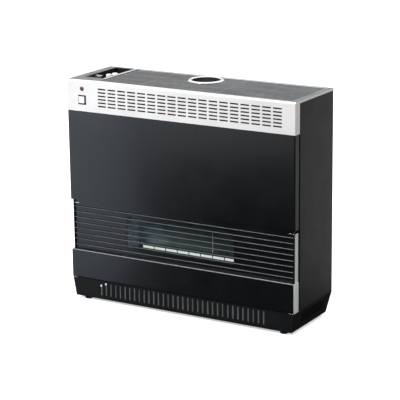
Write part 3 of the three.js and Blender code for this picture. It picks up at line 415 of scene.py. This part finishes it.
def dress(name, slot):
    piece = nodes[name]
    mesh = piece.data
    mesh.materials.clear()
    mesh.materials.append(MATERIALS[slot])
    mesh.polygons.foreach_set("material_index", [0] * len(mesh.polygons))
    mesh.polygons.foreach_set("use_smooth", [True] * len(mesh.polygons))
    weld = piece.modifiers.new("weld", "WELD")
    weld.merge_threshold = WELD_REACH
    bevel = piece.modifiers.new("edge", "BEVEL")
    bevel.width = EDGE.get(name, PLAIN_EDGE) * MM
    bevel.segments = 2
    bevel.limit_method = "ANGLE"
    bevel.angle_limit = EDGE_ANGLE
    bevel.harden_normals = True
    shading = piece.modifiers.new("shading", "WEIGHTED_NORMAL")
    shading.keep_sharp = True
    shading.weight = SHADING_WEIGHT


for part in frame["record"]["subparts"]:
    dress(part["node"], part["material_slot"])


def paint_faces(name, slot, chosen):
    """Gives the faces that chosen(centre, normal) picks another of the finishes."""
    mesh = nodes[name].data
    mesh.materials.append(MATERIALS[slot])
    index = len(mesh.materials) - 1
    for face in mesh.polygons:
        if chosen(face.center, face.normal):
            face.material_index = index


def refinish(names, finish):
    """Gives whole nodes a finish other than their slot's own."""
    for name in names:
        nodes[name].data.materials[0] = MATERIALS[finish]


refinish(("air_deflector", "heat_exchanger", "draught_hood", "burner_bar", "flue_spigot",
          "flue_restrictor", "lower_rail", "spark_electrode", "pilot_burner",
          "burner_injector"), "soot_and_shade_steel")
# the firebox's lining carries a painted bluish reflection at its left end
refinish(("firebox",), "lining_painted_sheen")
refinish(("right_side_trim", "left_side_trim", "flame_sensor"), "satin_trim")

BLOCKS = 8
BLOCK_TURN = 0.7                    # a block's face whose normal passes this is a top or an end
# painted shade in the joints: each block's ends, and also its top, take the dark soot finish
# instead of the glowing ceramic
for number in range(1, BLOCKS + 1):
    paint_faces(f"ceramic_block_{number}", "soot_and_shade_steel",
                lambda at, out: out.z > BLOCK_TURN or abs(out.x) > BLOCK_TURN)

LEVEL = 0.75                        # a normal this steep belongs to a level face
SIDEWAYS = 0.5                      # and one past this faces mostly along its axis
SILVER_DEPTH = 0.011                # how far back the fascia's silver runs on the top
PAST_SLOTS = FRONT + 0.0016         # deeper than the middles of the vent slots' side faces
SLOT_MIDDLE = 0.00125               # half way through the fascia's 2.5 mm sheet, from FRONT
SLOT_REACH = 0.0009
SLOTS_HALF_WIDTH = 0.33
GUARD_END = high("rod_guard").x - 0.0028


def top_painted_shade(at, out):
    return out.z > LEVEL and at.y > FRONT + SILVER_DEPTH


def crown_inside_shade(at, out):
    inward = out.y > SIDEWAYS or out.z < -SIDEWAYS or at.x * out.x < 0
    return at.y > PAST_SLOTS and inward


def vent_slot_shade(at, out):
    within_sheet = abs(at.y - FRONT - SLOT_MIDDLE) < SLOT_REACH
    return within_sheet and abs(out.y) < SIDEWAYS and abs(at.x) < SLOTS_HALF_WIDTH


# painted shade: the silver crown's upward faces behind its front band take the darker grille grey
paint_faces("crown_moulding", "grille_paint", top_painted_shade)
# painted shade: the crown's inner faces are black enamel, dark as the shade inside the case
paint_faces("crown_moulding", "black_enamel", crown_inside_shade)
# painted shade: the side faces of the fascia's vent slots are black enamel, so the slots read dark
paint_faces("crown_moulding", "black_enamel", vent_slot_shade)
paint_faces("rod_guard", "black_enamel", lambda at, out: abs(at.x) > GUARD_END)
# painted reflection and shade: the trims' inner and back faces, and the left trim's front face,
# are black enamel where they would reflect dark or lie in shade
paint_faces("right_side_trim", "black_enamel",
            lambda at, out: out.x < -SIDEWAYS or out.y > SIDEWAYS)
paint_faces("left_side_trim", "black_enamel",
            lambda at, out: out.x > SIDEWAYS or abs(out.y) > SIDEWAYS)

# ---------------------------------------------------------------- piece helpers


def piece_from(name, mesh, slot, body=BODY, smooth=True, finish=None):
    """Makes a piece that rides on a body; a finish stands in for its slot's own look."""
    mesh.normal_update()
    data = bpy.data.meshes.new(name)
    mesh.to_mesh(data)
    mesh.free()
    data.materials.append(MATERIALS[finish or slot])
    piece = bpy.data.objects.new(name, data)
    bpy.context.scene.collection.objects.link(piece)
    if smooth:
        for face in data.polygons:
            face.use_smooth = True
        shading = piece.modifiers.new("shading", "WEIGHTED_NORMAL")
        shading.keep_sharp = True
    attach(piece, body)


def add_bar(mesh, start, end, edge):
    """A block with rounded edges between two corners."""
    size = end - start
    half = Vector((0.5, 0.5, 0.5))
    made = bmesh.ops.create_cube(mesh, size=1.0)
    for vertex in made["verts"]:
        vertex.co = start + (vertex.co + half) * size
    edges = {e for v in made["verts"] for e in v.link_edges}
    bmesh.ops.bevel(mesh, geom=list(edges), offset=edge, segments=2, profile=0.5,
                    affect="EDGES", clamp_overlap=True)


def add_turned(mesh, profile, where, axis, segments):
    """A closed turned piece: profile is (radius, height) from the axis back to the axis."""
    turn = Vector((0, 0, 1)).rotation_difference(Vector(axis)).to_matrix()
    rings = []
    for radius, height in profile:
        if radius == 0:
            rings.append([mesh.verts.new(where + turn @ Vector((0, 0, height)))])
            continue
        ring = []
        for i in range(segments):
            angle = 2 * math.pi * i / segments
            ring.append(mesh.verts.new(where + turn @ Vector(
                (radius * math.cos(angle), radius * math.sin(angle), height))))
        rings.append(ring)
    for a, b in zip(rings, rings[1:]):
        for i in range(segments):
            j = (i + 1) % segments
            if len(a) == 1:
                mesh.faces.new((a[0], b[i], b[j]))
            elif len(b) == 1:
                mesh.faces.new((a[i], a[j], b[0]))
            else:
                mesh.faces.new((a[i], a[j], b[j], b[i]))


def add_screw(mesh, where, axis, radius):
    """A pan-head screw with a round dimple, standing on a surface."""
    rise = radius * 0.55
    axis = Vector(axis)
    add_turned(mesh, [(0, 0), (radius, 0), (radius, rise * 0.35), (radius * 0.9, rise * 0.75),
                      (radius * 0.62, rise), (radius * 0.3, rise), (radius * 0.22, rise * 0.45),
                      (0, rise * 0.3)], where, axis, 16)


# ---------------------------------------------------------------- small fittings
# Offsets and sizes in this section are in millimetres, unless a line says otherwise.

panel_top = high("lower_front_panel").z
pan = low("base_pan")
SIDES = (("right", 1), ("left", -1))


def front_y(offset):
    """The Y of a plane that lies this far behind the case's front plane."""
    return FRONT + offset * MM


EDGE_GLINT_Y = (-2.0, -0.2)
EDGE_GLINT_DROP = 1.9
EDGE_GLINT_RISE = 0.5
EDGE_GLINT_ROUND = 0.6


def add_panel_edge_glint():
    """A pale strip along the top edge of the lower panel: a painted highlight on that edge."""
    mesh = bmesh.new()
    near, far = (front_y(y) for y in EDGE_GLINT_Y)
    add_bar(mesh, Vector((low("lower_front_panel").x, near, panel_top - EDGE_GLINT_DROP * MM)),
            Vector((high("lower_front_panel").x, far, panel_top + EDGE_GLINT_RISE * MM)),
            EDGE_GLINT_ROUND * MM)
    piece_from("panel_edge_glint", mesh, "rod_steel", finish="glint_steel")


UPPER_TAB = {"x": (3, 22), "y": (7.6, 8.9), "drop": (1.2, 0.1)}
LOWER_TAB = {"x": (1.2, 15), "y": (-2.8, 0.2), "drop": (0.9, 0.1)}
TAB_ROUND = 0.2


def add_trim_tabs():
    """Folded tabs at the top and the foot of each side trim."""
    trim = high("right_side_trim")
    foot = low("lower_front_panel").z
    for side_name, sign in SIDES:
        mesh = bmesh.new()
        for tab, level in ((UPPER_TAB, trim.z), (LOWER_TAB, foot)):
            across = sorted(sign * (trim.x - inset * MM) for inset in tab["x"])
            near, far = (front_y(y) for y in tab["y"])
            bottom, top = (level - drop * MM for drop in tab["drop"])
            add_bar(mesh, Vector((across[0], near, bottom)), Vector((across[1], far, top)),
                    TAB_ROUND * MM)
        piece_from(f"trim_tabs_{side_name}", mesh, "bright_trim")


SCREEN_INSET = 45
SCREEN_Z = (8, 52)
SCREEN_Y = 4.6
SCREEN_FOLD = 0.7
SCREEN_THICK = 0.8
SCREEN_FOLDS = 264


def add_inlet_screen():
    """A corrugated galvanised sheet behind the plinth's air slots."""
    mesh = bmesh.new()
    left, right = pan.x + SCREEN_INSET * MM, -pan.x - SCREEN_INSET * MM
    levels = [pan.z + z * MM for z in SCREEN_Z]
    front, back = [], []
    for i in range(SCREEN_FOLDS + 1):
        x = left + (right - left) * i / SCREEN_FOLDS
        y = front_y(SCREEN_Y) + SCREEN_FOLD * MM * math.cos(math.pi * i)
        front.append([mesh.verts.new((x, y, z)) for z in levels])
        back.append([mesh.verts.new((x, y + SCREEN_THICK * MM, z)) for z in levels])
    for i in range(SCREEN_FOLDS):
        mesh.faces.new((front[i][0], front[i + 1][0], front[i + 1][1], front[i][1]))
        mesh.faces.new((back[i][0], back[i][1], back[i + 1][1], back[i + 1][0]))
        mesh.faces.new((front[i][1], front[i + 1][1], back[i + 1][1], back[i][1]))
        mesh.faces.new((front[i][0], back[i][0], back[i + 1][0], front[i + 1][0]))
    for i in (0, SCREEN_FOLDS):
        mesh.faces.new((front[i][0], front[i][1], back[i][1], back[i][0]))
    piece_from("inlet_screen", mesh, "bare_steel", smooth=False, finish="galvanised")


RIB_INSET = 15.5
RIB_THICK = 0.8
RIB_HALF_WIDTH = 1.4
RIB_Z = (12, 48)
RIBS = 14
FIRST_RIB = 50
RIB_PITCH = 9.4
RAIL_Z = (12.5, 46.5)
RAIL_HEIGHT = 1.2
RAIL_Y = (44, 178)
RAIL_PAST_RIBS = 0.7
RIB_ROUND = 0.2


def add_side_screens():
    """Bright ribs on two rails behind the air slots at the plinth's two ends."""
    rail_near, rail_far = (front_y(y) for y in RAIL_Y)
    for side_name, sign in SIDES:
        mesh = bmesh.new()
        outer = sign * (-pan.x - RIB_INSET * MM)
        inner = outer - sign * RIB_THICK * MM
        across = sorted((outer, inner))
        for number in range(RIBS):
            y = front_y(FIRST_RIB + number * RIB_PITCH)
            add_bar(mesh, Vector((across[0], y - RIB_HALF_WIDTH * MM, pan.z + RIB_Z[0] * MM)),
                    Vector((across[1], y + RIB_HALF_WIDTH * MM, pan.z + RIB_Z[1] * MM)),
                    RIB_ROUND * MM)
        for z in RAIL_Z:
            add_bar(mesh, Vector((across[0] - RAIL_PAST_RIBS * MM, rail_near, pan.z + z * MM)),
                    Vector((across[1] + RAIL_PAST_RIBS * MM, rail_far,
                            pan.z + (z + RAIL_HEIGHT) * MM)), RIB_ROUND * MM)
        piece_from(f"side_screen_{side_name}", mesh, "bare_steel", finish="galvanised")


STRIP_INSET = (5.5, 3.2)
STRIP_Y = (19.5, 24.4)
STRIP_BELOW = 8
STRIP_ROUND = 0.3


def add_seam_strips():
    """Black foam that closes the seams between the upper panel and the side panels."""
    near, far = (front_y(y) for y in STRIP_Y)
    bottom = low("upper_front_panel").z - STRIP_BELOW * MM
    for side_name, sign in SIDES:
        mesh = bmesh.new()
        across = sorted(sign * (-pan.x - inset * MM) for inset in STRIP_INSET)
        add_bar(mesh, Vector((across[0], near, bottom)),
                Vector((across[1], far, high("upper_front_panel").z)), STRIP_ROUND * MM)
        piece_from(f"seam_strip_{side_name}", mesh, "rubber")


GLINT_PLACES = ((-255.75, 41.5), (-240.25, 47.5))    # each painted highlight's X and level over the pan's foot
GLINT_HALF_WIDTH = 2.6
GLINT_Y = (1.2, 2.6)
GLINT_DROPS = (5.4, 0.2)              # its bottom and its top, under that level
GLINT_ROUND = 0.5


def add_slot_glints():
    """Two pale pieces in the tops of the plinth's first two slots: painted highlights."""
    mesh = bmesh.new()
    near, far = (front_y(y) for y in GLINT_Y)
    for across, level in GLINT_PLACES:
        left, right = ((across + side * GLINT_HALF_WIDTH) * MM for side in (-1, 1))
        bottom, crest = (pan.z + (level - drop) * MM for drop in GLINT_DROPS)
        add_bar(mesh, Vector((left, near, bottom)), Vector((right, far, crest)),
                GLINT_ROUND * MM)
    # painted highlights: white pieces where the glints show
    piece_from("slot_glints", mesh, "white_plastic")


STRAP_HALF_WIDTH = 1.2
STRAP_AHEAD = (1.0, 0.05)           # its front and its back, ahead of the blocks' front
STRAP_ABOVE = 0.8
STRAP_ROUND = 0.2


def add_radiant_clips():
    """Thin steel straps over the joints between the ceramic blocks."""
    mesh = bmesh.new()
    for number in range(1, BLOCKS):
        block, after = f"ceramic_block_{number}", f"ceramic_block_{number + 1}"
        joint = (high(block).x + low(after).x) / 2
        near, far = (low(block).y - ahead * MM for ahead in STRAP_AHEAD)
        add_bar(mesh, Vector((joint - STRAP_HALF_WIDTH * MM, near, low(block).z)),
                Vector((joint + STRAP_HALF_WIDTH * MM, far, high(block).z + STRAP_ABOVE * MM)),
                STRAP_ROUND * MM)
    piece_from("radiant_clips", mesh, "bare_steel", finish="soot_and_shade_steel")


SCREW_INSET = 12
SCREW_RADIUS = 3
INNER_SCREWS_X = 210
SIDE_SCREWS_Z = (220, 400)


def add_back_screws():
    """Self-tapping screws round the edge of the back panel, short of the wall's plane."""
    mesh = bmesh.new()
    rear = high("back_panel")
    edge = rear.x - SCREW_INSET * MM
    foot = low("back_panel").z + SCREW_INSET * MM
    head = rear.z - SCREW_INSET * MM
    inner = INNER_SCREWS_X * MM
    places = [(x, z) for x in (-edge, -inner, inner, edge) for z in (foot, head)]
    places += [(x, z * MM) for x in (-edge, edge) for z in SIDE_SCREWS_Z]
    for x, z in places:
        add_screw(mesh, Vector((x, rear.y, z)), (0, 1, 0), SCREW_RADIUS * MM)
    piece_from("back_screws", mesh, "bare_steel")


POINTER_HALF_WIDTH = 0.5
POINTER_FROM_RIM = 2.2
POINTER_FROM_CENTRE = 1.5
POINTER_BELOW_TOP = (0.35, 0.02)
POINTER_ROUND = 0.1


def add_pointers():
    """A dark line across the top of each turning knob."""
    for knob in ("gas_knob", "thermostat_knob"):
        mesh = bmesh.new()
        at, top = middle(knob), high(knob).z
        bottom, crest = (top - drop * MM for drop in POINTER_BELOW_TOP)
        rim = low(knob).y + POINTER_FROM_RIM * MM
        add_bar(mesh, Vector((at.x - POINTER_HALF_WIDTH * MM, rim, bottom)),
                Vector((at.x + POINTER_HALF_WIDTH * MM, at.y - POINTER_FROM_CENTRE * MM, crest)),
                POINTER_ROUND * MM)
        piece_from(f"{knob}_pointer", mesh, "black_plastic", body=knob)


add_panel_edge_glint()
add_trim_tabs()
add_inlet_screen()
add_side_screens()
add_seam_strips()
add_slot_glints()
add_radiant_clips()
add_back_screws()
add_pointers()

# ---------------------------------------------------------------- stage and light


FLOOR_CELLS = 4
FLOOR_HALF_SIZE = 14
FLOOR_GLOW = 0.45
WORLD_STRENGTH = 1.3
WORLD_SHADES = ((0.46, (0.02, 0.021, 0.024)), (0.53, (0.22, 0.23, 0.24)), (0.68, (1, 1, 1)))


def make_floor():
    """A white floor that the camera sees and that neither shades nor lights the heater."""
    mesh = bmesh.new()
    bmesh.ops.create_grid(mesh, x_segments=FLOOR_CELLS, y_segments=FLOOR_CELLS,
                          size=FLOOR_HALF_SIZE)
    data = bpy.data.meshes.new("floor")
    mesh.to_mesh(data)
    mesh.free()
    p = Paint("floor_paint")
    p.colour(p.noise(0.7, 2), (0.93, 0.93, 0.93), (0.95, 0.95, 0.95))
    p.gloss(p.noise(1.5, 2), 0.85, 0.95)
    p.shader.inputs["Emission Color"].default_value = (1, 1, 1, 1)
    p.shader.inputs["Emission Strength"].default_value = FLOOR_GLOW
    data.materials.append(p.material)
    floor = bpy.data.objects.new("floor", data)
    bpy.context.scene.collection.objects.link(floor)
    floor.visible_glossy = False
    floor.visible_diffuse = False
    floor.visible_shadow = False


def make_light(name, where, aim, size, power, colour):
    data = bpy.data.lights.new(name, "AREA")
    data.shape = "RECTANGLE"
    data.size, data.size_y = size
    data.energy = power
    data.color = colour
    light = bpy.data.objects.new(name, data)
    bpy.context.scene.collection.objects.link(light)
    light.location = where
    toward = Vector(aim) - Vector(where)
    light.rotation_euler = toward.to_track_quat("-Z", "Y").to_euler()
    light.visible_camera = False


def make_world():
    """A sky that is dark below the horizon and white well above it."""
    world = bpy.data.worlds.new("studio")
    world.use_nodes = True
    bpy.context.scene.world = world
    tree = world.node_tree
    place = tree.nodes.new("ShaderNodeTexCoord")
    split = tree.nodes.new("ShaderNodeSeparateXYZ")
    ramp = tree.nodes.new("ShaderNodeValToRGB")
    while len(ramp.color_ramp.elements) < len(WORLD_SHADES):
        ramp.color_ramp.elements.new(0.5)
    for element, (at, shade) in zip(ramp.color_ramp.elements, WORLD_SHADES):
        element.position = at
        element.color = (*shade, 1)
    spread = tree.nodes.new("ShaderNodeMapRange")
    spread.inputs["From Min"].default_value = -1
    spread.inputs["From Max"].default_value = 1
    tree.links.new(place.outputs["Generated"], split.inputs["Vector"])
    tree.links.new(split.outputs["Z"], spread.inputs["Value"])
    tree.links.new(spread.outputs["Result"], ramp.inputs["Fac"])
    tree.links.new(ramp.outputs["Color"], tree.nodes["Background"].inputs["Color"])
    tree.nodes["Background"].inputs["Strength"].default_value = WORLD_STRENGTH


make_floor()
make_world()
LIGHTS = (                          # name, place, aim, size, watts, colour
    ("key", (-1.2, -3.2, 2.6), (0, 0, 0.35), (1.6, 1.2), 108, (1, 1, 1)),
    ("left_card", (-1.18, -1.15, 0.12), (-0.3, -0.1, 0.12), (0.6, 0.9), 3.0, (0.78, 0.87, 1)),
    ("front_card", (-0.35, -1.2, 0.44), (0, -0.1, 0.44), (2.6, 0.30), 1.6, (0.88, 0.96, 1)),
    ("panel_card", (-0.45, -1.2, 0.27), (0, -0.1, 0.5), (0.6, 0.2), 0.35, (0.90, 0.95, 1)),
    ("right_card", (0.85, 1.1, 0.12), (0.35, 0, 0.12), (0.7, 0.9), 0.7, (1, 1, 1)),
    ("rear_card", (0.50, 0.62, 0.3), (0.36, 0.1, 0.3), (0.25, 0.8), 0.3, (1, 1, 1)),
)
for light_settings in LIGHTS:
    make_light(*light_settings)

scene = bpy.context.scene
scene.view_settings.view_transform = "Standard"
scene.view_settings.look = "None"
